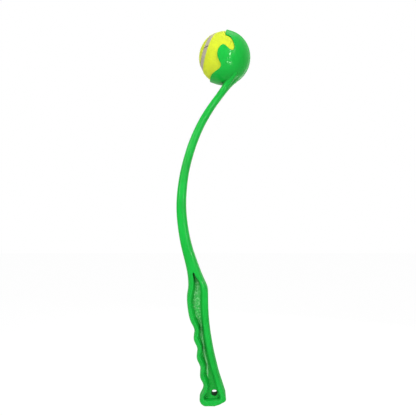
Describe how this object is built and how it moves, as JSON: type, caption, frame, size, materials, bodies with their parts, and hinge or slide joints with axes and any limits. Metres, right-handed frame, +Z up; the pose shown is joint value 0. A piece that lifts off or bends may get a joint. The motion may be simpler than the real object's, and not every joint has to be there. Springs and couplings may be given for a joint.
{
  "type": "dog ball launcher",
  "caption": "One-piece moulded throwing stick with a lobed ball cup, a curved shaft and a finger-grooved grip with a hanging hole, holding a felt tennis ball",
  "frame": {"origin": "centre of the hanging hole, in the stick's middle plane", "axes": "+Z runs up the stick from the grip to the cup, +Y is the hanging hole's axis, -X is the finger side that the cup opens to"},
  "size_m": [0.0987, 0.0692, 0.4958],
  "materials": {
    "green_plastic": "glossy moulded green plastic",
    "core_rubber": "black rubber",
    "yellow_felt": "bright yellow felt",
    "seam_rubber": "matt grey rubber"
  },
  "bodies": {
    "launcher": {"launcher_stick": "green_plastic"},
    "ball": {"core_half_upper": "core_rubber", "core_half_lower": "core_rubber", "felt_panel_near": "yellow_felt", "felt_panel_far": "yellow_felt", "ball_seam": "seam_rubber"}
  },
  "joints": [
    {"name": "ball_release", "type": "slide", "parent": "launcher", "child": "ball", "axis": [-0.9537, 0, 0.3007], "range_m": [0, 0.09]}
  ]
}
